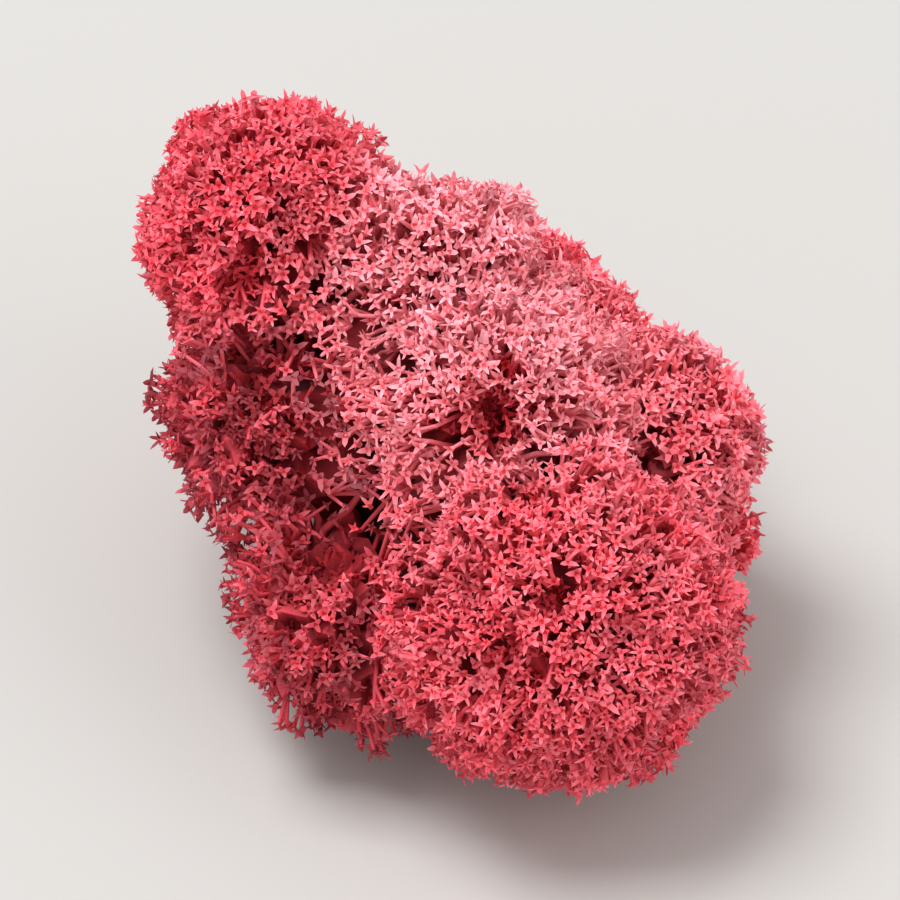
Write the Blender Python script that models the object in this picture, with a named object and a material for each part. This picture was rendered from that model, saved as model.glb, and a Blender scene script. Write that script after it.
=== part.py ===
"""Reindeer moss clump: rounded heads of finely forked lichen round one tangle of old bare stems.

Each head is a small core whose surface is divided into three-sided cells, and on each cell stands a branchlet.
Its stem forks into three arms, and each arm ends in a whorl of three tips.
A branchlet stays inside the cone that its cell spans from the head's centre, so no two of them cross.
A flat plane parts each head from its neighbours, and a neck runs up to it from both cores where stems pass.
At the end one slow drift of the whole space bends everything, which keeps all of it apart.
"""

import math
import random
from dataclasses import dataclass

import bmesh
import bpy
from mathutils import Matrix, Vector, noise

MM = 0.001
FIRST_SEED = 602

# Sizes that hold for the whole clump, in millimetres
NODE_GAP = 0.4
FLOOR_CLEARANCE = 0.9
TIP_SCATTER = 0.40
LEAST_TIP = 0.6
CREASE_WIDTH = 1.6
FLAT_SPOT_RADIUS = 5.5
HUB_RISE = 0.35
ARM_TILT = 0.25
NECK_RADIUS = 3.0
DRIFT = 1.3
DRIFT_LENGTH = 5.0
DRIFT_FADE_HEIGHT = 5.0

# Where a branchlet's parts lie, as shares of the way from its cell's middle to the cell's corners
STEM_SHARE = 0.17
ARM_SHARE = 0.44
ARM_THICKNESS = 0.13
WHORL_SHARE = 0.25
TUFT_SHARE = 0.32
STUB_SHARE = 0.21
BRANCHLET_ROOM_AT = 0.5
TUFT_ROOM_AT = 0.2
SHARE_SCATTER = 0.10

# How far up its room a bare stem is free of its foot, a branchlet forks, and its arms end
FOOT_AT = 0.25
FORK_AT = 0.36
WHORL_AT = 0.78

# Other values without a unit: shares, counts and the noise's frequency
SWELL_FREQUENCY = 1.8
CELL_JITTER = 0.18
HIDDEN_BELOW = 0.60
HIDDEN_POINTS_KEPT = 0.4
FLAT_SPOT_CLEAR = 0.93
FLAT_SPOT_SIDES = 12
LEAST_ROOM = 0.40
EASE = 1e-6


@dataclass
class Growth:
    """How a head grows: the surface under one branchlet in square millimetres, the rest in millimetres."""

    cell: float
    depth: float
    swell: float
    lump: float
    crease: float


DENSE = Growth(cell=19.5, depth=3.2, swell=0.7, lump=5.0, crease=0.7)
LOOSE = Growth(cell=20.0, depth=3.8, swell=0.9, lump=4.6, crease=1.0)
OPEN = Growth(cell=24.0, depth=4.8, swell=0.8, lump=4.6, crease=1.0)
STEMS = Growth(cell=9.0, depth=4.6, swell=0.9, lump=4.0, crease=0.0)

# Base colour and roughness of the dyed heads, the paler ones and the old stems
FINISHES = {
    "dyed_crimson": ((0.52, 0.055, 0.080), 0.85),
    "dyed_rose": ((0.66, 0.120, 0.160), 0.85),
    "bare_stem": ((0.42, 0.110, 0.110), 0.90),
}

# Growth, finish, centre (x, y, z), radius and stretch along x, y and z, in millimetres; +Y points to the rear
HEADS = {
    "stem_base": (STEMS, "bare_stem", (-0.2, 0.4, 7.5), 10.0, (1.05, 1.0, 1.0)),
    "round_head": (DENSE, "dyed_crimson", (6.6, -11.8, 14.2), 12.1, (1.03, 0.97, 1.0)),
    "crown_head": (DENSE, "dyed_crimson", (-12.0, 12.0, 26.2), 9.3, (1.04, 1.0, 0.97)),
    "shoulder_head": (LOOSE, "dyed_rose", (-2.2, 7.4, 23.6), 9.3, (1.05, 1.0, 1.0)),
    "ridge_head": (LOOSE, "dyed_rose", (3.0, -1.0, 21.2), 10.0, (1.1, 1.0, 0.95)),
    "right_head": (DENSE, "dyed_crimson", (11.8, 0.6, 16.4), 8.6, (1.0, 1.05, 1.0)),
    "left_spray": (OPEN, "dyed_crimson", (-12.0, 3.2, 17.4), 8.8, (1.0, 1.0, 1.0)),
    "low_left_spray": (OPEN, "dyed_crimson", (-7.4, -7.8, 10.6), 8.6, (1.0, 1.0, 1.0)),
    "rear_left_head": (DENSE, "dyed_crimson", (-9.0, 13.4, 13.8), 9.7, (1.0, 0.95, 1.05)),
    "rear_right_head": (DENSE, "dyed_crimson", (3.4, 12.4, 12.2), 9.9, (1.05, 0.95, 1.05)),
    "low_right_head": (DENSE, "dyed_crimson", (12.0, 1.8, 8.8), 7.8, (1.0, 1.05, 1.0)),
}

# The stems of each head run into what carries it
CARRIERS = {
    "round_head": "stem_base",
    "ridge_head": "stem_base",
    "right_head": "ridge_head",
    "shoulder_head": "ridge_head",
    "rear_left_head": "stem_base",
    "rear_right_head": "stem_base",
    "crown_head": "rear_left_head",
    "left_spray": "stem_base",
    "low_left_spray": "stem_base",
    "low_right_head": "stem_base",
}


def finish(name):
    """The material of that name, made once."""
    known = bpy.data.materials.get(name)
    if known:
        return known
    colour, roughness = FINISHES[name]
    material = bpy.data.materials.new(name)
    material.use_nodes = True
    shader = material.node_tree.nodes["Principled BSDF"]
    shader.inputs["Base Color"].default_value = (*colour, 1.0)
    shader.inputs["Roughness"].default_value = roughness
    shader.inputs["Metallic"].default_value = 0.0
    return material


def smooth(value):
    """Eases from 0 to 1 as the value goes from 0 to 1."""
    value = min(max(value, 0.0), 1.0)
    return value * value * (3 - 2 * value)


def parting_planes(name):
    """The planes that bound a head, as (unit normal, distance from its centre): neighbours and the floor."""
    centre = Vector(HEADS[name][2])
    radius = HEADS[name][3]
    planes = []
    for other in HEADS:
        if other == name:
            continue
        towards = Vector(HEADS[other][2]) - centre
        apart = towards.length
        share = (apart**2 + radius**2 - HEADS[other][3] ** 2) / (2 * apart)
        planes.append((towards / apart, share - NODE_GAP / 2))
    floor = 0.0 if name == "stem_base" else FLOOR_CLEARANCE
    planes.append((Vector((0, 0, -1)), centre.z - floor))
    return planes


def neck_axes(name):
    """Unit directions in which stems run out of this head, or into it."""
    centre = Vector(HEADS[name][2])
    linked = [b for a, b in CARRIERS.items() if a == name] + [a for a, b in CARRIERS.items() if b == name]
    return [(Vector(HEADS[other][2]) - centre).normalized() for other in linked]


class Head:
    """One head's envelope and core, as distances from its centre in each direction."""

    def __init__(self, name, seed):
        self.growth, self.finish, centre, self.radius, stretch = HEADS[name]
        self.is_base = name == "stem_base"
        self.centre = Vector(centre)
        self.stretch = Vector(stretch)
        self.planes = parting_planes(name)
        self.necks = neck_axes(name)
        self.rng = random.Random(seed)
        self.offset = Vector([self.rng.uniform(-50, 50) for _ in range(3)])

    def scatter(self, size):
        return self.rng.uniform(-size, size)

    def limit(self, direction):
        """How far this head may reach before it meets a parting plane."""
        reach = self.radius * 2
        for normal, distance in self.planes:
            slope = direction.dot(normal)
            if slope > EASE:
                reach = min(reach, distance / slope)
        return reach

    def ball(self, direction):
        """The stretched ball with its low swellings, creased between small lumps."""
        ball = self.radius / Vector([d / s for d, s in zip(direction, self.stretch)]).length
        swell = 2 * noise.noise(direction * SWELL_FREQUENCY + self.offset)
        near, next_near = noise.voronoi(direction * self.radius / self.growth.lump + self.offset)[0][:2]
        inside = min((next_near - near) * self.growth.lump / CREASE_WIDTH, 1.0)
        return ball + self.growth.swell * swell - self.growth.crease * (1 - inside) ** 2

    def envelope(self, direction):
        """Where the tips end, a tip's scatter short of the parting planes; the base's stems end on them."""
        clear = 0.0 if self.is_base else TIP_SCATTER
        return min(self.ball(direction), self.limit(direction) - clear)

    def hidden(self, direction):
        """True where the head lies against a neighbour."""
        return self.limit(direction) < self.ball(direction) * HIDDEN_BELOW

    def over_spot(self, direction):
        """More than 1 where a direction points down into the flat spot, 1 at its rim."""
        height = self.centre.z
        return -direction.z * math.hypot(height, FLAT_SPOT_RADIUS) / height + EASE

    def spot_rim(self):
        """The directions of the flat spot's corners."""
        for i in range(FLAT_SPOT_SIDES):
            turn = 2 * math.pi * i / FLAT_SPOT_SIDES
            rim = Vector((math.cos(turn), math.sin(turn), 0)) * FLAT_SPOT_RADIUS
            yield (rim - Vector((0, 0, self.centre.z))).normalized()

    def core(self, direction):
        """Where the branchlets are rooted; necks join it to its neighbours, and the base has a flat spot."""
        limit = self.limit(direction)
        if self.is_base:
            return limit if self.over_spot(direction) >= 1 else min(self.radius - self.growth.depth, limit)
        reach = self.ball(direction) - self.growth.depth
        for axis in self.necks:
            if direction.dot(axis) > 0:
                reach = max(reach, NECK_RADIUS / max(direction.cross(axis).length, EASE))
        return min(reach, limit)

    def cell_directions(self):
        """Evenly spread unit vectors on a golden spiral, nudged so that the cells look grown."""
        count = round(2 * math.pi * self.radius**2 / self.growth.cell) + 2
        golden = math.pi * (3 - math.sqrt(5))
        nudge = math.sqrt(4 * math.pi / count) * CELL_JITTER
        for i in range(count):
            z = 1 - (2 * i + 1) / count
            ring = math.sqrt(1 - z * z)
            even = Vector((ring * math.cos(golden * i), ring * math.sin(golden * i), z))
            direction = (even + Vector([self.scatter(nudge) for _ in range(3)])).normalized()
            if self.is_base:
                keep = self.over_spot(direction) < FLAT_SPOT_CLEAR
            else:
                keep = not self.hidden(direction) or self.rng.random() < HIDDEN_POINTS_KEPT
            if keep:
                yield direction
        if self.is_base:
            yield from self.spot_rim()


class Cell:
    """One cell of a head's core, and what grows on it.

    A place is given by its shares of the way from the cell's middle to each of its three corners, so that
    whatever has small shares stays inside the cell.
    """

    def __init__(self, bm, head, face):
        self.bm = bm
        self.head = head
        self.face = face
        first = min(range(3), key=lambda k: face.verts[k].index)
        self.corners = [face.verts[(first + k) % 3] for k in range(3)]
        ways = [(v.co - head.centre).normalized() for v in self.corners]
        self.middle = sum(ways, Vector()) / 3
        self.aside = [way - self.middle for way in ways]
        self.root = max((v.co - head.centre).length for v in self.corners)
        self.share_of_depth = min(self.room(BRANCHLET_ROOM_AT) / head.growth.depth, 1.0)

    def scattered(self, share):
        return share * (1 + self.head.scatter(SHARE_SCATTER))

    def way(self, shares):
        """The direction of that place from the head's centre."""
        return (self.middle + sum((u * s for u, s in zip(self.aside, shares)), Vector())).normalized()

    def reach(self, shares, height):
        """How far out that place lies, that share of the way up from the root to the envelope."""
        return self.root + (self.head.envelope(self.way(shares)) - self.root) * height

    def vert(self, shares, reach):
        way = self.way(shares)
        return self.bm.verts.new(self.head.centre + way * min(reach, self.head.limit(way)))

    def room(self, share):
        """The least height over the root, at the middle and that share of the way to the corners."""
        places = [[0, 0, 0]] + [[share * (i == k) for i in range(3)] for k in range(3)]
        return min(self.head.envelope(self.way(place)) for place in places) - self.root

    def ring(self, shares, size, height, first, tilt=0.0):
        """Three vertices round a place, the first raised, on the side that faces away from that corner."""
        reach = self.reach(shares, height)
        spots = []
        for k in range(3):
            away = (first + k) % 3
            rise = -tilt / 2 if k else tilt
            spots.append(self.vert([s - size * (i == away) for i, s in enumerate(shares)], reach + rise))
        return spots

    def band(self, low, high):
        """Joins two rings of three by six triangles."""
        for k in range(3):
            after = (k + 1) % 3
            self.bm.faces.new((low[k], low[after], high[k]))
            self.bm.faces.new((low[after], high[after], high[k]))

    def stub(self):
        """A bare stem with a wide foot and a cut end."""
        self.bm.faces.remove(self.face)
        foot = self.ring((0, 0, 0), self.scattered(STUB_SHARE), FOOT_AT, 2)
        end = self.ring((0, 0, 0), self.scattered(STUB_SHARE), 1 + self.head.scatter(SHARE_SCATTER), 2)
        self.band(self.corners, foot)
        self.band(foot, end)
        self.bm.faces.new(end)

    def tuft(self):
        """Three low tips, where there is little room."""
        self.bm.faces.remove(self.face)
        hub = self.vert((0, 0, 0), self.root)
        for k in range(3):
            after = (k + 1) % 3
            place = [TUFT_SHARE * (i in (k, after)) for i in range(3)]
            tip = self.vert(place, self.reach(place, 1.0))
            self.bm.faces.new((hub, self.corners[k], tip))
            self.bm.faces.new((self.corners[k], self.corners[after], tip))
            self.bm.faces.new((self.corners[after], hub, tip))

    def branchlet(self):
        """A stem that forks into three arms, one towards each corner, with a whorl on each."""
        self.bm.faces.remove(self.face)
        stem = self.ring((0, 0, 0), self.scattered(STEM_SHARE), FORK_AT, 2)
        self.band(self.corners, stem)
        hub = self.vert((0, 0, 0), self.reach((0, 0, 0), FORK_AT) + HUB_RISE * self.share_of_depth)
        for k in range(3):
            corner = (k + 1) % 3
            shares = [self.scattered(ARM_SHARE) * (i == corner) for i in range(3)]
            end = self.ring(shares, ARM_THICKNESS, WHORL_AT, corner, ARM_TILT * self.share_of_depth)
            self.band([hub, stem[k], stem[corner]], end)
            self.whorl(shares, end, corner)

    def whorl(self, shares, end, corner):
        """Three tips round a dip, on the end of the arm that leans towards that corner."""
        dip = self.bm.verts.new(sum((v.co for v in end), Vector()) / 3)
        for k in range(3):
            towards = (corner + k + 2) % 3
            spread = self.scattered(WHORL_SHARE)
            place = [s + spread * (i == towards) for i, s in enumerate(shares)]
            tip = self.vert(place, self.reach(place, 1.0) + self.head.scatter(TIP_SCATTER))
            rim = (end[k], end[(k + 1) % 3])
            self.bm.faces.new((dip, rim[0], tip))
            self.bm.faces.new((rim[0], rim[1], tip))
            self.bm.faces.new((rim[1], dip, tip))


def grow(bm, head):
    """Covers the cells of the core that have room above them, in an order that is the same on each run."""
    bm.verts.index_update()
    for face in sorted(bm.faces, key=lambda face: sorted(v.index for v in face.verts)):
        cell = Cell(bm, head, face)
        if cell.room(TUFT_ROOM_AT) < LEAST_TIP:
            continue
        if head.is_base:
            cell.stub()
        elif cell.share_of_depth > LEAST_ROOM:
            cell.branchlet()
        else:
            cell.tuft()


def drifted(point):
    """The point moved by the slow drift that bends the branchlets; it dies out towards the floor."""
    fade = smooth(point.z / DRIFT_FADE_HEIGHT)
    return point + noise.noise_vector(point / DRIFT_LENGTH) * DRIFT * fade


def build_head(name, seed):
    """One head as a closed mesh: the core's cells, and what grows on them."""
    head = Head(name, seed)
    bm = bmesh.new()
    for direction in head.cell_directions():
        bm.verts.new(direction)
    bmesh.ops.convex_hull(bm, input=bm.verts)
    bmesh.ops.recalc_face_normals(bm, faces=bm.faces)
    for vert in bm.verts:
        direction = vert.co.normalized()
        vert.co = head.centre + direction * head.core(direction)
    grow(bm, head)
    for vert in bm.verts:
        vert.co = drifted(vert.co) * MM
    mesh = bpy.data.meshes.new(name)
    bm.to_mesh(mesh)
    bm.free()
    mesh.materials.append(finish(head.finish))
    bpy.context.scene.collection.objects.link(bpy.data.objects.new(name, mesh))


def centre_over_origin(meshes):
    """Moves the clump sideways until the middle of its bounding box is above the origin."""
    spots = [vert.co for mesh in meshes for vert in mesh.vertices]
    middle = [(min(s[axis] for s in spots) + max(s[axis] for s in spots)) / 2 for axis in (0, 1)]
    for mesh in meshes:
        mesh.transform(Matrix.Translation((-middle[0], -middle[1], 0)))


def main():
    for old in list(bpy.data.objects):
        bpy.data.objects.remove(old)
    noise.seed_set(FIRST_SEED)
    for seed, name in enumerate(HEADS, start=FIRST_SEED):
        build_head(name, seed)
    centre_over_origin([obj.data for obj in bpy.data.objects])


main()
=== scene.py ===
"""Reindeer moss clump: the looks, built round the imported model.

Every head is a bush of lichen stems that fork three times on their way out and end in star-shaped whorls.
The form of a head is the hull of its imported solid, so the finished bush keeps its place and outline.
Lengths in the code are millimetres; Blender's own properties and operators get metres.
"""

import math
import random
from functools import cache

import bmesh
import bpy
import numpy as np
from bpy.props import FloatProperty, FloatVectorProperty, PointerProperty
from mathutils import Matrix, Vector, kdtree, noise


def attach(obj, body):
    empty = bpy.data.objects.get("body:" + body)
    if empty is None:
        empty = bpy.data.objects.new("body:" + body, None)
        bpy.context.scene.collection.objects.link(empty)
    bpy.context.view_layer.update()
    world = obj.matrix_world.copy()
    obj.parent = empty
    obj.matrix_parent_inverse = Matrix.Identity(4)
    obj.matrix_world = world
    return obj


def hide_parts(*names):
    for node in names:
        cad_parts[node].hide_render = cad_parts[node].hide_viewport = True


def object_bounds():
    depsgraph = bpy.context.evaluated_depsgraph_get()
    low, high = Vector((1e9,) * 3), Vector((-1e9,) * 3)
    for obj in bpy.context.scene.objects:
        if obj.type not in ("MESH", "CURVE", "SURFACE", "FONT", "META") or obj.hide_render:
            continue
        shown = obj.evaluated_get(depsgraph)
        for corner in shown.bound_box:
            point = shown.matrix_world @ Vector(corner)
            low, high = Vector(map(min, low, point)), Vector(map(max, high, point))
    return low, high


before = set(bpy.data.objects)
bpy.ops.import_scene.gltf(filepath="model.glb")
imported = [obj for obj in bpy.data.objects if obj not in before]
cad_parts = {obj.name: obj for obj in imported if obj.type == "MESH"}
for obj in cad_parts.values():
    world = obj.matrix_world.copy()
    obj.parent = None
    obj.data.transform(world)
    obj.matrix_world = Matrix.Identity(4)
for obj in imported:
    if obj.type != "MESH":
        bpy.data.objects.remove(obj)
CAD_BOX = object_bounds()

bl_info = {
    "name": "Reindeer moss clump",
    "version": (1, 0, 0),
    "blender": (4, 5, 0),
    "location": "3D View > Sidebar > Moss",
    "description": "Heads of star-tipped reindeer lichen on a tangle of old stems, with a plain studio",
    "category": "Object",
}

MM = 0.001
GOLDEN_ANGLE = math.pi * (3 - math.sqrt(5))
# What counts as no length, area or slope, and the least length that a vector is divided by
TINY = 1e-6
LEAST_LENGTH = 1e-9

# The seeds of the random draws: the star patterns, the first head of each kind, and the stem base
STAR_SEED = 71
DENSE_SEED = 171
LOOSE_SEED = 271
OPEN_SEED = 371
BASE_SEED = 471

STEM_BASE = "stem_base"
DENSE_HEADS = (
    "round_head",
    "crown_head",
    "right_head",
    "rear_left_head",
    "rear_right_head",
    "low_right_head",
)
LOOSE_HEADS = ("shoulder_head", "ridge_head")
OPEN_SPRAYS = ("left_spray", "low_left_spray")

# What the stems of some heads grow out of; those of the others grow out of the stem base
GROWS_FROM = {
    "right_head": "ridge_head",
    "shoulder_head": "ridge_head",
    "crown_head": "rear_left_head",
}

HEADS = (*DENSE_HEADS, *LOOSE_HEADS, *OPEN_SPRAYS)

# How far neighbouring heads, and their dyes, run into one another
BLEND = 1.5
DYE_BLEND = 2.5

# The larger dark hollows: middle on the surface, radius and depth
HOLLOWS = (
    ((2.3, -7.4, 27.9), 3.1, 4.4),
    ((4.7, -10.4, 26.7), 2.6, 3.4),
    ((-8.4, -8.2, 19.6), 3.6, 4.2),
    ((-12.3, -0.1, 25.0), 2.8, 3.4),
    ((6.4, -19.0, 23.5), 1.6, 2.6),
    ((2.9, -20.7, 20.4), 1.5, 2.4),
    ((5.4, -22.0, 19.4), 1.6, 2.6),
    ((-13.6, 2.6, 29.8), 2.4, 3.2),
)

# Balls inside the clump that fill the seams between its heads: middle and radius
FILLED = (
    ((-6.8, 0.3, 13.8), 6.4),
    ((-5.5, 6.0, 11.5), 5.0),
    ((-4.5, 5.0, 17.0), 7.0),
    ((7.0, 5.0, 15.0), 6.0),
    ((0.5, -5.0, 15.0), 6.0),
    ((-7.6, 2.6, 21.6), 5.2),
)

# How much of the pale dye a head has; the others have none
PALENESS = {"shoulder_head": 1.0, "ridge_head": 0.85, "right_head": 0.4, "round_head": 0.1}
# How much darker some heads and the inner tangles are, in steps of the tint, and how much a step of tint
# changes the colour. On the sprays at the left and on the inner tangles this is painted shade, for the
# shadow they lie in; the crown and the round head are a little darker all over
SHADES = {"crown_head": -0.6, "left_spray": -2.9, "low_left_spray": -2.4, "round_head": -0.2}
TANGLE_SHADE = -3.6
TINT_STEP = 0.16
# How far single stars differ in tint, their sizes, and how far they lean from the way out
TINT_SPREAD = 0.6
STAR_SIZES = (0.72, 1.28)
STAR_LEAN = 0.34
# How wide the lighter and darker tufts of stars are, and how dark a star gets at most
TUFT = 2.4
DARKEST_TINT = -4.0

# How deep under the clump's surface the inner tangles stay, and how knobbly they are
TANGLE_DEPTH = 3.4
TANGLE_KNOBS = 1.6
# The share of that depth on the clump's underside, and the slopes between which the full depth starts
UNDERSIDE = 0.65
UNDERSIDE_SLOPES = (-0.5, 0.1)
# A tangle's largest size as a share of its head, the sizes tried, and its sphere's subdivisions
TANGLE_MOST = 1.15
TANGLE_TRIES = 16
TANGLE_DETAIL = 4
# The slopes between which its least size goes over from the lower share to the upper one
TANGLE_SLOPES = (-0.1, 0.4)
# Its coarse and fine knobs: how close they stand, how much the fine ones count, the level that is no knob,
# and how much lighter the knobs are painted where they stand out than in the dips between them, as painted
# light and shade
KNOBS_ROUND = (13, 29)
FINE_KNOBS = 0.6
KNOB_LEVEL = 0.2
KNOB_LIGHT_AND_SHADE = 3.5
# How often the spikes of a tangle are lowered
SPIKE_ROUNDS = 5
# How far a tangle keeps from a hollow's middle: shares of its radius and depth, and millimetres
HOLLOW_ROOM = (0.5, 0.8, 0.6)

# The small dark pits: how far apart in millimetres, and their radius and soft rim as shares of that
PIT_SPACING = 5.2
PIT_WIDTH = 0.27
PIT_EDGE = 0.12
# How deep they sink the upper and the lower stars, and down to which depth upper stars stand in them
TOP_PIT = 1.0
LOW_PIT = 1.6
PIT_BARE = 0.5

# The smaller lumps on the larger ones: their size and the depth of their creases, as shares of theirs
SMALL_LUMP = 0.42
SMALL_CREASE = 0.7
# How wide a crease is, as a share of its lump, and the size and depth of the ripples
CREASE_WIDTH = 0.42
RIPPLE = 2.3
RIPPLE_DEPTH = 0.3

# Spots tried for each star, and the least gap between two stars as a share of their spacing
TRIES = 4
LEAST_GAP = 0.835
# How spots settle on the clump's surface: the steps, the longest one and the gap that may be left
SETTLE_STEPS = 7
LONGEST_STEP = 0.8
GAP_LEFT = 0.4
# How far the upper and the lower stars of a head stand into its neighbours
TOP_OVERLAP = 0.3
LOW_OVERLAP = 1.2
# The depths of the upper stars, and the least of the lower ones: so much, and a share of their reach
TOP_DEPTHS = (0.3, 0.7)
LOW_START = 0.6
LOW_SHARE = 0.4
# How the stars' own depths shrink in a hollow: its depths in millimetres, and the shares that are left
HOLLOW_DEPTHS = (0, 3)
HOLLOW_SHARES = (1, 0.25)
# A star's least depth under the surface and its least height over the floor
LEAST_DEPTH = 0.3
LEAST_HEIGHT = 0.8

# The table of directions in which a hull's reach is measured, and those that sample its area
TABLE_ROWS = 61
TABLE_COLUMNS = 120
AREA_SAMPLES = 400

# Where a head's stems start to spread: how far from its middle towards what it grows from, as a share
FOOT_SHARE = 0.45
# How far up the bush each fork lies, from the foot to the surface, and the tips that share a stem there
FORK_HEIGHTS = (0.42, 0.66, 0.84)
TIPS_PER_STEM = (26, 8, 2.6)
LEAST_FORKS = 3
# How deep each fork lies straight under its tips instead, and how much that counts
FORK_DEPTHS = (6.0, 3.2, 1.4)
FORK_SHARES = (0.2, 0.6, 0.9)
# How far the forks differ in height, and how far they and the stems' feet are scattered
FORK_SHIFT = 0.05
FORK_SCATTER = 0.25
FOOT_SCATTER = 0.7
# How thick a stem is at the foot, at each fork and under a star, as shares of the main stem's thickness
STEM_TAPER = (1.0, 0.78, 0.56, 0.40, 0.30)
# How many straight steps a stem is bent in, from the foot to the star
STEM_STEPS = (4, 3, 2, 1)
# How far a stem keeps its first and its last direction, as shares of its length
BEND_START = 0.38
BEND_END = 0.34
# A head's main stems: how many, their steps, their scatter and lean, and how thick below
TRUNKS = 6
TRUNK_STEPS = 6
TRUNK_SCATTER = 1.1
TRUNK_LEAN = 0.25
TRUNK_FLARE = 1.1

# The stem base: how many stems rise and lie flat, the steps of each, and the flat spot's radius
RISING_STEMS = 150
FLAT_STEMS = 90
BASE_STEPS = 5
FLAT_SPOT = 5.2
# Its rising stems: foot height, scatter, rise, reach, least height of the ends, lift at the start, taper
RISING_FOOT = 2.2
RISING_SCATTER = 1.8
RISING_RISE = (-0.8, 2.5)
RISING_REACH = (0.86, 0.98)
LEAST_END = 0.4
RISING_LIFT = 0.3
RISING_TAPER = (0.5, 0.8)
# Its flat stems: how far aside they lie, and their heights, lengths, bend and taper
FLAT_ASIDE = 0.9
FLAT_HEIGHTS = (0.15, 1.6)
FLAT_LENGTHS = (0.7, 1.0)
FLAT_BEND = 0.4
FLAT_TAPER = (0.8, 0.6)
# The least size of its tangle, below and above
BASE_TANGLE = (0.8, 0.97)

# The dye in each material slot, and the one that it runs into near the pale heads
DYES = {
    "dyed_crimson": ("crimson", "rose"),
    "dyed_rose": ("crimson", "rose"),
    "bare_stem": ("stem", "stem"),
}

# How many rays each star pattern has
STAR_RAYS = (3, 4, 3, 4, 4, 3, 5, 3)
# The width of a star's rim, out of which its rays are drawn, as a share of its collar's half width
RIM_SHARE = 0.72
# How far out the rim's faces lie at least, and the slope of a normal from which a face looks upwards
RIM_FROM = 0.3
UPWARDS = 0.3
# Where on a star its tips' colour starts, and over which share it comes in; the tips are paler partly from
# paler dye and partly as painted highlight
TIP_FROM = 0.25
TIP_OVER = 0.7
# How the rays of a star differ in direction, length, lean and bend
RAY_TURN = 0.25
RAY_LENGTHS = (0.65, 1.35)
RAY_LEANS = (0.4, 1.7)
RAY_BENDS = (-0.5, 0.6)
# The joints of a ray: its share of the length, and the width at its end, which is none at the point
JOINTED_RAY = ((0.55, 0.78), (0.45, None))
PLAIN_RAY = ((0.9, None),)

# The look of the lichen: the two ends of what is read, and the two values that these give
# Painted shade: the colour goes over to the dark depth colour the deeper a point lies under the clump's
# surface
DEPTH_SHADE = (0.9, 4.2, 0.0, 1.0)
# Painted shade: deeper still, the colour is dimmed further
DIM_DEPTHS = (2.8, 6.0, 1.0, 0.75)
# The paler tips: partly paler dye, partly painted highlight where the thin tips catch the light
TIP_DYE_AND_HIGHLIGHT = (0.1, 1.0, 0.0, 0.85)
PATCH_DYE = (0.42, 0.68, 0.0, 0.38)
ROUGHNESS = (0.3, 0.7, 0.72, 0.92)
# The grain of the dye's patches, of the roughness and of the felty skin, and the skin's height
PATCH_GRAIN = 5.0
ROUGH_GRAIN = 1.2
FELT_GRAIN = 0.16
FELT_HEIGHT = 0.06

# The stage, in metres: the lights' places and widths, the side light's share of power, the floor
KEY_PLACE = (-0.35, 0.05, 1.0)
KEY_WIDTH = 0.5
SIDE_PLACE = (0.9, -0.5, 0.5)
SIDE_WIDTH = 0.7
SIDE_SHARE = 0.28
FLOOR_WIDTH = 6.0
# How wide the clump shows, as a share of its box's diagonal, and how near and far the camera sees
PICTURED_SHARE = 0.78
CAMERA_CLIP = (0.01, 50.0)


def millimetres(name, description, default, low, high):
    """A length property that is shown in Blender's units."""
    return FloatProperty(
        name=name,
        description=description,
        default=default * MM,
        min=low * MM,
        max=high * MM,
        subtype="DISTANCE",
        unit="LENGTH",
        precision=5,
    )


def share(name, description, default, high=1.0):
    """A property without a unit: a share, or a factor."""
    return FloatProperty(
        name=name, description=description, default=default, min=0.0, max=high, subtype="FACTOR"
    )


def colour(name, description, default):
    """A colour property."""
    return FloatVectorProperty(
        name=name, description=description, default=default, min=0.0, max=1.0, size=3, subtype="COLOR"
    )


class MossStar(bpy.types.PropertyGroup):
    """The star-shaped whorl that ends each branchlet."""

    collar: millimetres("Collar", "Radius of the stem's end under the rays", 0.20, 0.05, 1.0)
    neck: millimetres("Neck", "Length of the stem's end under the rays", 0.36, 0.1, 2.0)
    pit: millimetres("Pit", "Depth of the small hole between the rays", 0.14, 0.0, 1.0)
    ray: millimetres("Ray", "Length of a ray", 0.60, 0.1, 2.0)
    lean: FloatProperty(
        name="Lean",
        description="Angle between a ray and the surface that the star lies in",
        default=math.radians(33),
        min=0.0,
        max=math.radians(90),
        subtype="ANGLE",
        unit="ROTATION",
    )


class MossGrowth(bpy.types.PropertyGroup):
    """How close the stars of one kind of head stand, and how deep its pits are."""

    spacing: millimetres("Star spacing", "Distance between neighbouring stars", 0.74, 0.4, 5.0)
    under: share("Stars beneath", "Stars under the surface layer, as a share of those in it", 0.45, 3.0)
    under_depth: millimetres("Depth beneath", "How far down the lower stars reach", 1.7, 0.2, 5.0)
    stem: millimetres("Main stem", "Radius of a main stem at the foot", 0.42, 0.1, 2.0)
    lump: millimetres("Lump", "Size of the lumps on the head", 7.0, 1.0, 20.0)
    crease: millimetres("Crease", "Depth of the creases between the lumps", 1.1, 0.0, 5.0)
    # The inner tangle is painted dark as shade
    core: share("Core", "Least radius of the dark inner tangle, as a share of the head", 0.62)
    mottle: share("Mottle", "How far lighter and darker tufts differ, in steps of the tint", 2.0, 10.0)


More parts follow.
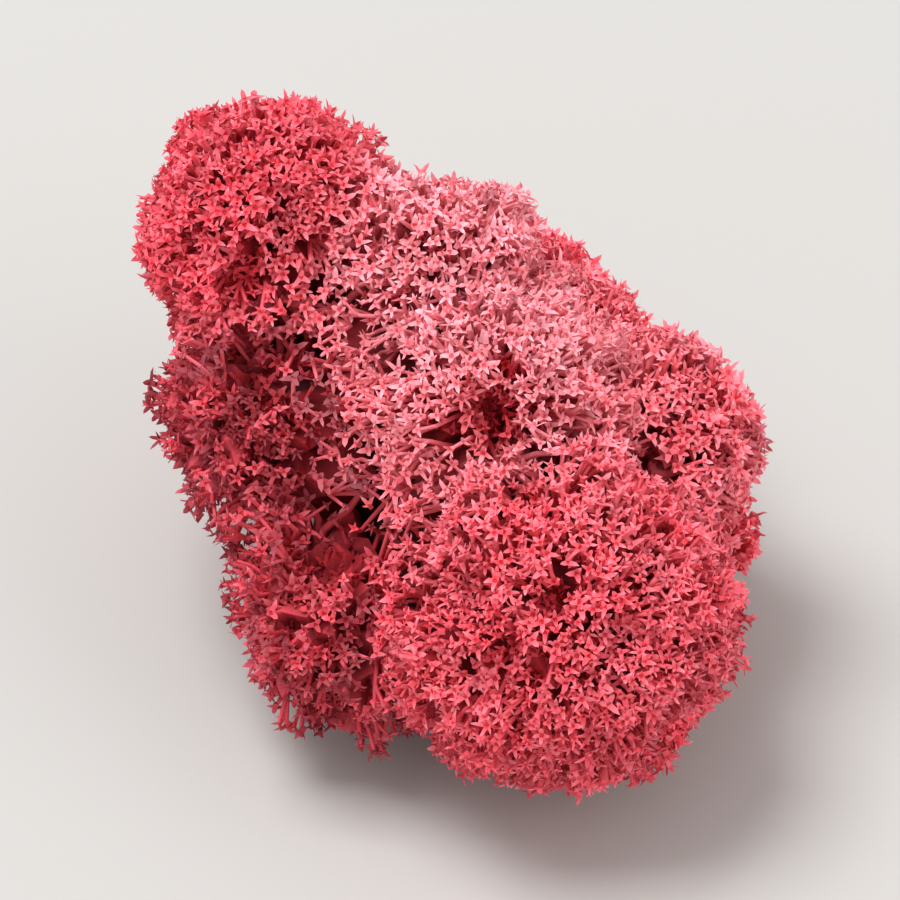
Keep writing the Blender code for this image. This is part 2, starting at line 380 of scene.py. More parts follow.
class MossColours(bpy.types.PropertyGroup):
    """The colours at the tips, on the branchlets and down in the pits. Those of the depths are painted
    shade, and the paler tips are partly paler dye and partly painted highlight.
    """

    # The tip colours, here and on the rose heads, are partly paler dye and partly painted highlight
    crimson_tip: colour("Crimson tips", "Tips of the deep red heads", (1.00, 0.245, 0.310))
    crimson_body: colour("Crimson", "Branchlets of the deep red heads", (0.94, 0.105, 0.150))
    # Painted shade: the dark colour given to what lies deep in the red heads, for the shade there
    crimson_deep: colour("Crimson depths", "Stems deep in the red heads", (0.620, 0.026, 0.044))
    rose_tip: colour("Rose tips", "Tips of the paler heads", (1.00, 0.540, 0.600))
    rose_body: colour("Rose", "Branchlets of the paler heads", (1.00, 0.330, 0.390))
    stem_tip: colour("Cut ends", "Cut and broken ends of old stems", (0.50, 0.230, 0.190))
    stem_body: colour("Old stems", "Bare old stems", (0.36, 0.060, 0.065))
    # Painted shade: the dark colour given to old stems deep in the tangle, for the shade there
    stem_deep: colour("Old stem depths", "Bare old stems deep in the tangle", (0.110, 0.010, 0.012))


class MossStudio(bpy.types.PropertyGroup):
    """The camera and the lights."""

    height: FloatProperty(
        name="Camera height",
        description="Angle of the camera above the floor",
        default=math.radians(45),
        min=0.0,
        max=math.radians(90),
        subtype="ANGLE",
        unit="ROTATION",
    )
    distance: FloatProperty(
        name="Camera distance",
        description="From the clump's middle",
        default=1.9,
        min=0.2,
        max=10.0,
        unit="LENGTH",
    )
    fill: share("Fill", "Share of the picture's side that the clump spans", 0.84)
    floor: colour("Floor", "Colour of the pale floor", (0.53, 0.522, 0.508))
    key: FloatProperty(
        name="Key light", description="Power of the main light", default=9.2, min=0.0, unit="POWER"
    )


def deselect_all():
    """Leaves edit mode and selects nothing."""
    if bpy.context.object and bpy.context.object.mode != "OBJECT":
        bpy.ops.object.mode_set(mode="OBJECT")
    bpy.ops.object.select_all(action="DESELECT")


def activate(*pieces):
    """Selects these pieces alone and makes the first one active."""
    deselect_all()
    for piece in pieces:
        piece.select_set(True)
    bpy.context.view_layer.objects.active = pieces[0]


def pick_faces(mesh, chosen):
    """Selects the faces of the mesh in edit mode for which chosen is true."""
    bm = bmesh.from_edit_mesh(mesh)
    bm.select_mode = {"FACE"}
    for face in bm.faces:
        face.select_set(chosen(face))
    bm.select_flush_mode()
    bmesh.update_edit_mesh(mesh)


def looks_up(face):
    """Whether a face looks upwards."""
    return face.normal.z > UPWARDS


def nearest_to(spot):
    """A test that is true for the face whose middle is at that spot."""
    return lambda face: (face.calc_center_median() - spot).length < TINY


class HeadForm:
    """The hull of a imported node: its middle, and how far it reaches from there in each direction."""

    def __init__(self, node):
        bm = bmesh.new()
        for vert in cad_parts[node].data.vertices:
            bm.verts.new(vert.co / MM)
        bmesh.ops.convex_hull(bm, input=bm.verts)
        bmesh.ops.recalc_face_normals(bm, faces=bm.faces)
        faces = [face for face in bm.faces if face.calc_area() > TINY]
        spots = np.array([face.calc_center_median() for face in faces])
        areas = np.array([face.calc_area() for face in faces])
        normals = np.array([face.normal for face in faces])
        self.middle = (spots * areas[:, None]).sum(axis=0) / areas.sum()
        offsets = (normals * (spots - self.middle)).sum(axis=1)
        bm.free()
        polar = np.linspace(0, math.pi, TABLE_ROWS)[:, None]
        around = np.arange(TABLE_COLUMNS) * 2 * math.pi / TABLE_COLUMNS
        up = np.broadcast_to(np.cos(polar), (TABLE_ROWS, TABLE_COLUMNS))
        ways = np.stack([np.sin(polar) * np.cos(around), np.sin(polar) * np.sin(around), up], axis=2)
        slopes = ways @ normals.T
        self.table = np.where(slopes > TINY, offsets / np.maximum(slopes, TINY), np.inf).min(axis=2)

    def reach(self, ways):
        """Distance from the middle to the hull along each unit direction, read from the table."""
        polar = np.arccos(np.clip(ways[:, 2], -1, 1)) / math.pi * (TABLE_ROWS - 1)
        around = np.arctan2(ways[:, 1], ways[:, 0]) / (2 * math.pi) % 1 * TABLE_COLUMNS
        row = np.minimum(polar.astype(int), TABLE_ROWS - 2)
        column = around.astype(int) % TABLE_COLUMNS
        beside = (column + 1) % TABLE_COLUMNS
        down = polar - row
        along = around - np.floor(around)
        upper = self.table[row, column] * (1 - along) + self.table[row, beside] * along
        lower = self.table[row + 1, column] * (1 - along) + self.table[row + 1, beside] * along
        return upper * (1 - down) + lower * down

    def outward(self, spots):
        """The unit direction from the middle to each spot."""
        return unit(spots - self.middle)

    def outside(self, spots):
        """How far outside the hull each spot lies, measured from the middle. It is negative inside."""
        return np.linalg.norm(spots - self.middle, axis=1) - self.reach(self.outward(spots))


@cache
def form_of(node):
    """The form of a node, worked out once."""
    return HeadForm(node)


def unit(vectors):
    """The vectors at length 1."""
    return vectors / np.maximum(np.linalg.norm(vectors, axis=-1, keepdims=True), LEAST_LENGTH)


def spread_directions(count, rng, nudge=0.30):
    """Evenly spread unit vectors on a golden spiral, each nudged by a share of their spacing."""
    i = np.arange(count)
    z = 1 - (2 * i + 1) / count
    ring = np.sqrt(1 - z * z)
    even = np.stack([ring * np.cos(GOLDEN_ANGLE * i), ring * np.sin(GOLDEN_ANGLE * i), z], axis=1)
    size = nudge * math.sqrt(4 * math.pi / count)
    return unit(even + rng.uniform(-size, size, (count, 3)))


def outside_heads(spots):
    """How far outside each head every spot lies, in a row for each head."""
    return np.stack([form_of(head).outside(spots) for head in HEADS])


def say_of_heads(spots, blend):
    """How much say each head has at every spot: close to 1 for the head that the spot belongs to."""
    away = outside_heads(spots)
    say = np.exp((away.min(axis=0) - away) / blend)
    return say / say.sum(axis=0)


def depth_in_clump(spots):
    """How deep every spot lies under the surface in which all the heads run into one another."""
    seams = [np.linalg.norm(spots - np.array(middle), axis=1) - radius for middle, radius in FILLED]
    away = np.concatenate([outside_heads(spots), seams])
    nearest = away.min(axis=0)
    return BLEND * np.log(np.exp((nearest - away) / BLEND).sum(axis=0)) - nearest


def outward_of_clump(spots):
    """The direction out of the clump at every spot, shared between the heads that meet there."""
    say = say_of_heads(spots, BLEND)
    return unit(sum(part[:, None] * form_of(head).outward(spots) for part, head in zip(say, HEADS)))


def thinned(spots, gap):
    """Picks spots in their order so that no two picked ones are closer than the gap."""
    tree = kdtree.KDTree(len(spots))
    for index, spot in enumerate(spots):
        tree.insert(spot, index)
    tree.balance()
    free = np.ones(len(spots), dtype=bool)
    picked = []
    for index, spot in enumerate(spots):
        if free[index]:
            picked.append(index)
            for _, near, _ in tree.find_range(spot, gap):
                free[near] = False
    return spots[picked]


def pit_depth(spots, depth):
    """How deep each spot is sunk by the small round pits that are strewn over the heads."""
    near = np.array([noise.voronoi(Vector(spot) / PIT_SPACING)[0][0] for spot in spots])
    return depth * np.clip((PIT_WIDTH - near) / PIT_EDGE, 0, 1)


def hollow_depth(spots):
    """How deep each spot is sunk by the larger hollows, which are rounded like bowls."""
    deepest = np.zeros(len(spots))
    for middle, radius, depth in HOLLOWS:
        away = np.linalg.norm(spots - np.array(middle), axis=1) / radius
        deepest = np.maximum(deepest, depth * np.clip(1 - away**2, 0, 1))
    return deepest


def crease_depth(spots, lump, crease):
    """How deep the surface is creased at each spot: between lumps of that size, and smaller ones."""
    depths = np.zeros(len(spots))
    for i, spot in enumerate(spots):
        for size, deep in ((lump, crease), (lump * SMALL_LUMP, crease * SMALL_CREASE)):
            near, next_near = noise.voronoi(Vector(spot) / size)[0][:2]
            depths[i] += deep * (1 - min((next_near - near) / CREASE_WIDTH, 1.0)) ** 2
        depths[i] += RIPPLE_DEPTH * noise.noise(Vector(spot) / RIPPLE)
    return depths


@cache
def star_patterns(joints):
    """The star whorls, each modelled once: vertices, whether each is at a tip, and faces."""
    patterns = []
    for number, rays in enumerate(STAR_RAYS):
        star = model_star(f"star_{number}", rays, joints, random.Random(STAR_SEED + number))
        mesh = star.data
        spots = np.array([vert.co for vert in mesh.vertices]) / MM
        outward = np.hypot(spots[:, 0], spots[:, 1])
        furthest = outward.max()
        tips = np.clip((outward - furthest * TIP_FROM) / (furthest * TIP_OVER), 0, 1)
        faces = [list(face.vertices) for face in mesh.polygons]
        patterns.append((spots, tips, faces))
        bpy.data.objects.remove(star)
    return patterns


def model_star(name, rays, joints, rng):
    """One star: a stem's end whose rim is drawn out into rays, jointed or plain, round a small pit."""
    sizes = bpy.context.scene.moss_star
    deselect_all()
    bpy.ops.mesh.primitive_cylinder_add(
        vertices=rays,
        radius=sizes.collar,
        depth=sizes.neck,
        end_fill_type="NGON",
        location=(0, 0, -sizes.neck / 2),
    )
    star = bpy.context.object
    star.name = name
    bpy.ops.object.transform_apply(location=True)
    bpy.ops.object.mode_set(mode="EDIT")
    pick_faces(star.data, looks_up)
    half_width = sizes.collar * math.cos(math.pi / rays)
    bpy.ops.mesh.inset(thickness=half_width * RIM_SHARE)
    bpy.ops.transform.translate(value=(0, 0, -sizes.pit))
    inside = half_width * RIM_FROM
    upper = [face.calc_center_median() for face in bmesh.from_edit_mesh(star.data).faces if looks_up(face)]
    rim = [spot for spot in upper if math.hypot(spot.x, spot.y) > inside]
    assert len(rim) == rays, f"{name} has {len(rim)} of {rays} rays"
    for spot in rim:
        draw_out_ray(star.data, spot, sizes, joints, rng)
    pick_faces(star.data, lambda face: True)
    bpy.ops.mesh.normals_make_consistent(inside=False)
    bpy.ops.object.mode_set(mode="OBJECT")
    return star


def draw_out_ray(mesh, spot, sizes, joints, rng):
    """Extrudes one face of the rim into a ray: out and up, then on to its point."""
    turn = math.atan2(spot.y, spot.x) + rng.uniform(-RAY_TURN, RAY_TURN)
    length = sizes.ray * rng.uniform(*RAY_LENGTHS)
    lean = sizes.lean * rng.uniform(*RAY_LEANS)
    bend = lean + rng.uniform(*RAY_BENDS)
    pick_faces(mesh, nearest_to(spot))
    for angle, (part, width) in zip((lean, bend), JOINTED_RAY if joints else PLAIN_RAY):
        flat = length * part * math.cos(angle)
        step = Vector((flat * math.cos(turn), flat * math.sin(turn), length * part * math.sin(angle)))
        bpy.ops.mesh.extrude_region_move(TRANSFORM_OT_translate={"value": step})
        spot = spot + step
        if width:
            bpy.ops.transform.resize(value=(width, width, width), center_override=spot)
        else:
            bpy.ops.mesh.merge(type="CENTER")


def mesh_piece(name, spots, faces, values):
    """A mesh object from millimetre spots, with the named values on its points."""
    mesh = bpy.data.meshes.new(name)
    mesh.from_pydata((spots * MM).tolist(), [], faces)
    for label, numbers in values.items():
        layer = mesh.attributes.new(label, "FLOAT", "POINT")
        layer.data.foreach_set("value", np.asarray(numbers, dtype=np.float32))
    piece = bpy.data.objects.new(name, mesh)
    bpy.context.scene.collection.objects.link(piece)
    return piece


def frames_along(ways, rng):
    """A rotation matrix for each direction that turns +Z to it, with a random spin."""
    aside = unit(np.cross(ways, unit(rng.normal(size=ways.shape))))
    across = np.cross(ways, aside)
    return np.stack([aside, across, ways], axis=2)


def place_stars(name, spots, ways, sizes, tints, joints, rng):
    """Copies of the star patterns, one at each spot, looking along its direction."""
    patterns = star_patterns(joints)
    kinds = rng.integers(0, len(patterns), len(spots))
    turns = frames_along(ways, rng)
    verts, tips, hues, faces = [], [], [], []
    start = 0
    for spot, kind, turn, size, tint in zip(spots, kinds, turns, sizes, tints):
        pattern, pattern_tips, pattern_faces = patterns[kind]
        verts.append(pattern * size @ turn.T + spot)
        tips.append(pattern_tips)
        hues.append(np.full(len(pattern), tint))
        faces.extend([start + i for i in face] for face in pattern_faces)
        start += len(pattern)
    values = {"tip": np.concatenate(tips), "tint": np.concatenate(hues)}
    return mesh_piece(name, np.concatenate(verts), faces, values)


def bend_between(start, start_way, end, end_way, steps):
    """Points on a smooth bend that leaves start and arrives at end along the given directions."""
    length = np.linalg.norm(end - start)
    a = start + start_way * length * BEND_START
    b = end - end_way * length * BEND_END
    for t in np.linspace(0, 1, steps + 1):
        s = 1 - t
        yield s**3 * start + 3 * s * s * t * a + 3 * s * t * t * b + t**3 * end


def stem_curves(name, runs, roundness, closed):
    """One mesh of round stems. Each run is its points and the radius at both ends."""
    curve = bpy.data.curves.new(name, "CURVE")
    curve.dimensions = "3D"
    curve.bevel_depth = MM
    curve.bevel_resolution = roundness
    curve.use_fill_caps = closed
    for points, thick, thin in runs:
        spline = curve.splines.new("POLY")
        spline.points.add(len(points) - 1)
        spline.points.foreach_set("co", [n for p in points for n in (*(p * MM), 1.0)])
        spline.points.foreach_set("radius", np.linspace(thick, thin, len(points)))
    stems = bpy.data.objects.new(name, curve)
    bpy.context.scene.collection.objects.link(stems)
    activate(stems)
    bpy.ops.object.convert(target="MESH")
    return bpy.context.object


class Bush:
    """The forking stems of one head, worked out from the tips inwards."""

    def __init__(self, node, growth, seed):
        self.node = node
        self.growth = growth
        self.form = form_of(node)
        self.carrier = form_of(GROWS_FROM.get(node, STEM_BASE))
        self.rng = np.random.default_rng(seed)
        self.foot = self.find_foot()

    def find_foot(self):
        """Where the stems start to spread: well inside the head, on the side that it grows from."""
        towards = unit(self.carrier.middle - self.form.middle)
        return self.form.middle + towards * self.form.reach(towards[None])[0] * FOOT_SHARE

    def surface_spots(self, spacing, overlap):
        """Evenly spaced spots on this head's part of the clump's surface."""
        around = spread_directions(AREA_SAMPLES, self.rng)
        area = 4 * math.pi * float(np.mean(self.form.reach(around) ** 2))
        ways = self.rng.permutation(spread_directions(int(TRIES * area / spacing**2), self.rng))
        spots = self.form.middle + ways * self.form.reach(ways)[:, None]
        for _ in range(SETTLE_STEPS):
            spots = spots + ways * np.clip(depth_in_clump(spots), -LONGEST_STEP, LONGEST_STEP)[:, None]
        away = outside_heads(spots)
        kept = away[HEADS.index(self.node)] - away.min(axis=0) < overlap
        kept &= np.abs(depth_in_clump(spots)) < GAP_LEFT
        return thinned(spots[kept], spacing * LEAST_GAP)

    def sunk(self, spots, least, most, pit):
        """The spots sunk into the clump, further in creases and pits, and the direction out at each."""
        growth = self.growth
        ways = outward_of_clump(spots)
        below = crease_depth(spots, growth.lump / MM, growth.crease / MM) + pit_depth(spots, pit)
        hollow = hollow_depth(spots)
        uneven = np.interp(hollow, HOLLOW_DEPTHS, HOLLOW_SHARES)
        below += hollow + self.rng.uniform(least, most, len(spots)) * uneven
        spots = spots - ways * np.maximum(below, LEAST_DEPTH)[:, None]
        spots[:, 2] = np.maximum(spots[:, 2], LEAST_HEIGHT)
        return spots, ways

    def grow(self):
        """Finds the stars and the stems that lead to them."""
        growth = self.growth
        spacing = growth.spacing / MM
        deepest = growth.under_depth / MM
        top = self.surface_spots(spacing, TOP_OVERLAP)
        top = top[pit_depth(top, TOP_PIT) < PIT_BARE]
        low = self.surface_spots(spacing / math.sqrt(growth.under), LOW_OVERLAP)
        top, top_ways = self.sunk(top, *TOP_DEPTHS, TOP_PIT)
        low, low_ways = self.sunk(low, LOW_START + deepest * LOW_SHARE, TOP_DEPTHS[1] + deepest, LOW_PIT)
        self.top_count = len(top)
        self.tips = np.concatenate([top, low])
        self.tip_ways = np.concatenate([top_ways, low_ways])
        self.runs = {"branchlets": [], "stems": []}
        self.fork(self.tips, self.tip_ways, len(FORK_HEIGHTS) - 1)

    def fork(self, spots, ways, level):
        """Joins the stems at these spots to the forks below them, and those on down to the foot."""
        radius = self.growth.stem / MM
        thin = radius * STEM_TAPER[level + 2]
        thick = radius * STEM_TAPER[level + 1]
        runs = self.runs["branchlets" if level > 0 else "stems"]
        if level < 0:
            scatter = self.rng.normal(0, FOOT_SCATTER, (len(spots), 3))
            starts = np.repeat(self.foot[None], len(spots), axis=0) + scatter
            start_ways = unit(spots - self.foot)
            parents = np.arange(len(spots))
        else:
            count = max(LEAST_FORKS, int(len(self.tips) / TIPS_PER_STEM[level]))
            seeds = self.rng.permutation(len(self.tips))[:count]
            over = self.tips[seeds]
            over_ways = self.tip_ways[seeds]
            parents = np.argmin(((spots[:, None] - over[None]) ** 2).sum(axis=2), axis=1)
            used, parents = np.unique(parents, return_inverse=True)
            over = over[used]
            over_ways = over_ways[used]
            height = FORK_HEIGHTS[level] + self.rng.uniform(-FORK_SHIFT, FORK_SHIFT, (len(over), 1))
            starts = self.foot + (over - self.foot) * height
            under = over - over_ways * FORK_DEPTHS[level]
            scatter = self.rng.normal(0, FORK_SCATTER, over.shape)
            starts += (under - starts) * FORK_SHARES[level] + scatter
            start_ways = unit(unit(over - self.foot) + over_ways * FORK_SHARES[level])
        steps = STEM_STEPS[level + 1]
        for spot, way, parent in zip(spots, ways, parents):
            points = list(bend_between(starts[parent], start_ways[parent], spot, way, steps))
            runs.append((points, thick, thin))
        if level >= 0:
            self.fork(starts, start_ways, level - 1)

    def trunk(self):
        """Old main stems that run from what carries the head to its foot."""
        start = self.carrier.middle
        way = unit(self.foot - start)
        radius = self.growth.stem / MM
        for _ in range(TRUNKS):
            below, above = self.rng.normal(0, TRUNK_SCATTER, (2, 3))
            lean = unit(way + self.rng.normal(0, TRUNK_LEAN, 3))
            points = list(bend_between(start + below, lean, self.foot + above, way, TRUNK_STEPS))
            self.runs["stems"].append((points, radius * TRUNK_FLARE, radius))


def without_spikes(size, mesh):
    """Lowers each vertex's size to the mean of its own and its neighbours', a few times over."""
    ends = np.array([edge.vertices for edge in mesh.edges])
    for _ in range(SPIKE_ROUNDS):
        total = size.copy()
        count = np.ones(len(size))
        for here, there in (ends.T, ends.T[::-1]):
            np.add.at(total, here, size[there])
            np.add.at(count, here, 1)
        size = np.minimum(size, total / count)
    return size


def knob_at(way):
    """How far a tangle stands out in a direction: coarse knobs with finer ones on them."""
    coarse, fine = KNOBS_ROUND
    return noise.noise(way * coarse) + FINE_KNOBS * noise.noise(way * fine)


def inner_tangle(name, form, least, least_above):
    """The inside of a head, painted dark as shade: a knobbly ball that fills what lies deep enough in the
    clump.

    Below and above it has at least the two sizes given, as shares of the head.
    """
    deselect_all()
    bpy.ops.mesh.primitive_ico_sphere_add(subdivisions=TANGLE_DETAIL, radius=1.0)
    core = bpy.context.object
    core.name = name
    ways = unit(np.array([vert.co for vert in core.data.vertices]))
    reach = form.reach(ways)
    size = np.interp(ways[:, 2], TANGLE_SLOPES, (least, least_above))
    cover = TANGLE_DEPTH * np.interp(ways[:, 2], UNDERSIDE_SLOPES, (UNDERSIDE, 1))
    for tried in np.linspace(least, TANGLE_MOST, TANGLE_TRIES):
        deep = depth_in_clump(form.middle + ways * (reach * tried)[:, None]) > cover
        size = np.where(deep, np.maximum(tried, size), size)
    size = without_spikes(size, core.data)
    spots = form.middle + ways * (reach * size)[:, None]
    by_radius, by_depth, further = HOLLOW_ROOM
    for hollow, radius, depth in HOLLOWS:
        room = radius * by_radius + depth * by_depth + further
        too_near = room - np.linalg.norm(spots - np.array(hollow), axis=1)
        spots -= ways * np.maximum(too_near, 0)[:, None]
    knobs = np.array([knob_at(Vector(way)) for way in ways])
    spots += ways * (TANGLE_KNOBS * (knobs - KNOB_LEVEL))[:, None]
    core.data.vertices.foreach_set("co", (spots * MM).ravel())
    core.data.update()
    # Painted shade: the tangle is painted dark, and lighter on the knobs that stand out than in the dips
    # between them
    tint = core.data.attributes.new("tint", "FLOAT", "POINT")
    tint.data.foreach_set("value", TANGLE_SHADE + KNOB_LIGHT_AND_SHADE * knobs)
    return core


def finish_piece(piece, node, slot):
    """Gives a piece its material, and stores on its points how deep they lie and how pale their dye is."""
    mesh = piece.data
    mesh.materials.clear()
    mesh.materials.append(lichen_material(slot))
    spots = np.empty(len(mesh.vertices) * 3)
    mesh.vertices.foreach_get("co", spots)
    spots = spots.reshape(-1, 3) / MM
    say = say_of_heads(spots, DYE_BLEND)
    pale = sum(part * PALENESS.get(head, 0.0) for part, head in zip(say, HEADS))
    for label, numbers in (("depth", np.maximum(depth_in_clump(spots), 0)), ("pale", pale)):
        layer = mesh.attributes.new(label, "FLOAT", "POINT")
        layer.data.foreach_set("value", numbers.astype(np.float32))
    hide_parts(node)
    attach(piece, "root")


def build_head(node, growth, slot, seed):
    """One head: stars, the stems that carry them, its main stems and its inner tangle, in one piece."""
    bush = Bush(node, growth, seed)
    bush.grow()
    bush.trunk()
    rng = bush.rng
    lean = unit(bush.tip_ways + rng.normal(0, STAR_LEAN, bush.tip_ways.shape))
    sizes = rng.uniform(*STAR_SIZES, len(bush.tips))
    # A star's tint: the sprays at the left are darker as painted shade, and the rest is random, a spread
    # of single stars and lighter and darker tufts
    tints = rng.normal(SHADES.get(node, 0.0), TINT_SPREAD, len(bush.tips))
    tints += growth.mottle * np.array([noise.noise(Vector(tip) / TUFT) for tip in bush.tips])
    tints = np.maximum(tints, DARKEST_TINT)
    top = slice(0, bush.top_count)
    low = slice(bush.top_count, None)
    piece = place_stars(f"{node}_lichen", bush.tips[top], lean[top], sizes[top], tints[top], True, rng)
    lower = place_stars(f"{node}_lower", bush.tips[low], lean[low], sizes[low], tints[low], False, rng)
    fine = stem_curves(f"{node}_branchlets", bush.runs["branchlets"], 0, False)
    main = stem_curves(f"{node}_stems", bush.runs["stems"], 1, True)
    core = inner_tangle(f"{node}_tangle", bush.form, growth.core, growth.core)
    activate(main, fine)
    bpy.ops.object.shade_smooth()
    activate(piece, lower, fine, main, core)
    bpy.ops.object.join()
    finish_piece(piece, node, slot)
    triangles = sum(len(face.vertices) - 2 for face in piece.data.polygons)
    print(piece.name, len(bush.tips), "stars,", triangles, "triangles")


class MOSS_OT_dense_heads(bpy.types.Operator):
    """Builds the dense crimson heads"""

    bl_idname = "moss.dense_heads"
    bl_label = "Dense heads"

    def execute(self, context):
        for seed, node in enumerate(DENSE_HEADS, start=DENSE_SEED):
            build_head(node, context.scene.moss_dense, "dyed_crimson", seed)
        return {"FINISHED"}


class MOSS_OT_loose_heads(bpy.types.Operator):
    """Builds the looser, paler heads"""

    bl_idname = "moss.loose_heads"
    bl_label = "Loose heads"

    def execute(self, context):
        for seed, node in enumerate(LOOSE_HEADS, start=LOOSE_SEED):
            build_head(node, context.scene.moss_loose, "dyed_rose", seed)
        return {"FINISHED"}


class MOSS_OT_open_sprays(bpy.types.Operator):
    """Builds the open sprays at the left, where single stems show"""

    bl_idname = "moss.open_sprays"
    bl_label = "Open sprays"

    def execute(self, context):
        for seed, node in enumerate(OPEN_SPRAYS, start=OPEN_SEED):
            build_head(node, context.scene.moss_open, "dyed_crimson", seed)
        return {"FINISHED"}


class MOSS_OT_stem_base(bpy.types.Operator):
    """Builds the tangle of old bare stems that the clump rests on"""

    bl_idname = "moss.stem_base"
    bl_label = "Stem base"

    def execute(self, context):
        build_stem_base(context.scene.moss_dense)
        return {"FINISHED"}


def rising_stem(form, foot, radius, way, rng):
    """An old stem from the foot to the base's surface: its points and the radius at both ends."""
    end = form.middle + way * form.reach(way[None])[0] * rng.uniform(*RISING_REACH)
    end[2] = max(end[2], LEAST_END)
    start = foot + np.array([*rng.normal(0, RISING_SCATTER, 2), rng.uniform(*RISING_RISE)])
    start_way = unit(np.array([way[0], way[1], abs(way[2]) + RISING_LIFT]))
    points = list(bend_between(start, start_way, end, way, BASE_STEPS))
    return points, radius, radius * rng.uniform(*RISING_TAPER)


def flat_stem(form, radius, rng):
    """An old stem that lies across the flat spot: its points and the radius at both ends."""
    turn = rng.uniform(0, 2 * math.pi)
    way = np.array([math.cos(turn), math.sin(turn), 0.0])
    aside = np.array([-way[1], way[0], 0.0]) * rng.uniform(-FLAT_ASIDE, FLAT_ASIDE) * FLAT_SPOT
    middle = np.array([form.middle[0], form.middle[1], rng.uniform(*FLAT_HEIGHTS)]) + aside
    half = math.sqrt(FLAT_SPOT**2 - float(aside @ aside)) * rng.uniform(*FLAT_LENGTHS)
    bend = unit(way + np.array([*rng.normal(0, FLAT_BEND, 2), 0.0]))
    points = list(bend_between(middle - way * half, bend, middle + way * half, bend, BASE_STEPS))
    thick, thin = FLAT_TAPER
    return points, radius * thick, radius * thin


def build_stem_base(growth):
    """Old stems that rise from the flat spot, and others that lie pressed flat in it."""
    form = form_of(STEM_BASE)
    rng = np.random.default_rng(BASE_SEED)
    radius = growth.stem / MM
    foot = np.array([form.middle[0], form.middle[1], RISING_FOOT])
    rising = [rising_stem(form, foot, radius, way, rng) for way in spread_directions(RISING_STEMS, rng)]
    flat = [flat_stem(form, radius, rng) for _ in range(FLAT_STEMS)]
    piece = stem_curves("stem_base_stems", rising + flat, 1, True)
    core = inner_tangle("stem_base_tangle", form, *BASE_TANGLE)
    activate(piece)
    bpy.ops.object.shade_smooth()
    activate(piece, core)
    bpy.ops.object.join()
    for vert in piece.data.vertices:
        vert.co.z = max(vert.co.z, 0.0)
    finish_piece(piece, STEM_BASE, "bare_stem")


def add_socket(group, name, kind, into):
    """A socket on the node group, into it or out of it."""
    group.interface.new_socket(name, in_out="INPUT" if into else "OUTPUT", socket_type=kind)


def point_value(nodes, name):
    """The value that each piece stores on its points under that name."""
    node = nodes.new("ShaderNodeAttribute")
    node.attribute_name = name
    return node.outputs["Fac"]


def mixed(nodes, links, factor, first, second):
    """The mix of two colours by a factor."""
    node = nodes.new("ShaderNodeMix")
    node.data_type = "RGBA"
    for number, source in ((0, factor), (6, first), (7, second)):
        links.new(source, node.inputs[number])
    return node.outputs[2]


def ranged(nodes, links, value, span):
    """The value carried from one range to another, with eased ends."""
    node = nodes.new("ShaderNodeMapRange")
    node.interpolation_type = "SMOOTHSTEP"
    links.new(value, node.inputs["Value"])
    for name, number in zip(("From Min", "From Max", "To Min", "To Max"), span):
        node.inputs[name].default_value = number
    return node.outputs["Result"]


def grain(nodes, links, size):
    """Noise in object space whose blotches are about that many millimetres across."""
    place = nodes.new("ShaderNodeTexCoord")
    node = nodes.new("ShaderNodeTexNoise")
    node.inputs["Scale"].default_value = 1 / (size * MM)
    node.inputs["Detail"].default_value = 3.0
    links.new(place.outputs["Object"], node.inputs["Vector"])
    return node.outputs["Fac"]


def brightness(nodes, links):
    """How bright the colour is: the tint changes it in even steps, and it falls with the depth as painted
    shade.
    """
    tinted = nodes.new("ShaderNodeMath")
    tinted.operation = "MULTIPLY_ADD"
    tinted.inputs[1].default_value = TINT_STEP
    tinted.inputs[2].default_value = 1.0
    dimmed = nodes.new("ShaderNodeMath")
    dimmed.operation = "MULTIPLY"
    links.new(point_value(nodes, "tint"), tinted.inputs[0])
    links.new(tinted.outputs[0], dimmed.inputs[0])
    links.new(ranged(nodes, links, point_value(nodes, "depth"), DIM_DEPTHS), dimmed.inputs[1])
    return dimmed.outputs[0]


@cache
def dyed_lichen_group():
    """The shared look of dyed lichen: tips painted paler, partly as paler dye and partly as painted
    highlight, depths darkened as painted shade, uneven dye and a fine felty skin.
    """
    group = bpy.data.node_groups.new("dyed_lichen", "ShaderNodeTree")
    for name in ("Tip", "Body", "Deep", "Pale tip", "Pale body"):
        add_socket(group, name, "NodeSocketColor", True)
    add_socket(group, "Colour", "NodeSocketColor", False)
    add_socket(group, "Roughness", "NodeSocketFloat", False)
    add_socket(group, "Height", "NodeSocketFloat", False)
    nodes = group.nodes
    links = group.links
    given = nodes.new("NodeGroupInput")
    result = nodes.new("NodeGroupOutput")
    # Painted shade: the deeper a point lies, the more it takes the dark depth colour
    sunk = ranged(nodes, links, point_value(nodes, "depth"), DEPTH_SHADE)
    # The paler tips: partly paler dye, partly painted highlight
    at_tip = ranged(nodes, links, point_value(nodes, "tip"), TIP_DYE_AND_HIGHLIGHT)
    patches = ranged(nodes, links, grain(nodes, links, PATCH_GRAIN), PATCH_DYE)
    pale = point_value(nodes, "pale")
    tip = mixed(nodes, links, pale, given.outputs["Tip"], given.outputs["Pale tip"])
    body = mixed(nodes, links, pale, given.outputs["Body"], given.outputs["Pale body"])
    body = mixed(nodes, links, patches, body, tip)
    body = mixed(nodes, links, at_tip, body, tip)
    body = mixed(nodes, links, sunk, body, given.outputs["Deep"])
    shade = nodes.new("ShaderNodeHueSaturation")
    links.new(brightness(nodes, links), shade.inputs["Value"])
    links.new(body, shade.inputs["Color"])
    rough = ranged(nodes, links, grain(nodes, links, ROUGH_GRAIN), ROUGHNESS)
    links.new(shade.outputs["Color"], result.inputs["Colour"])
    links.new(rough, result.inputs["Roughness"])
    links.new(grain(nodes, links, FELT_GRAIN), result.inputs["Height"])
    return group


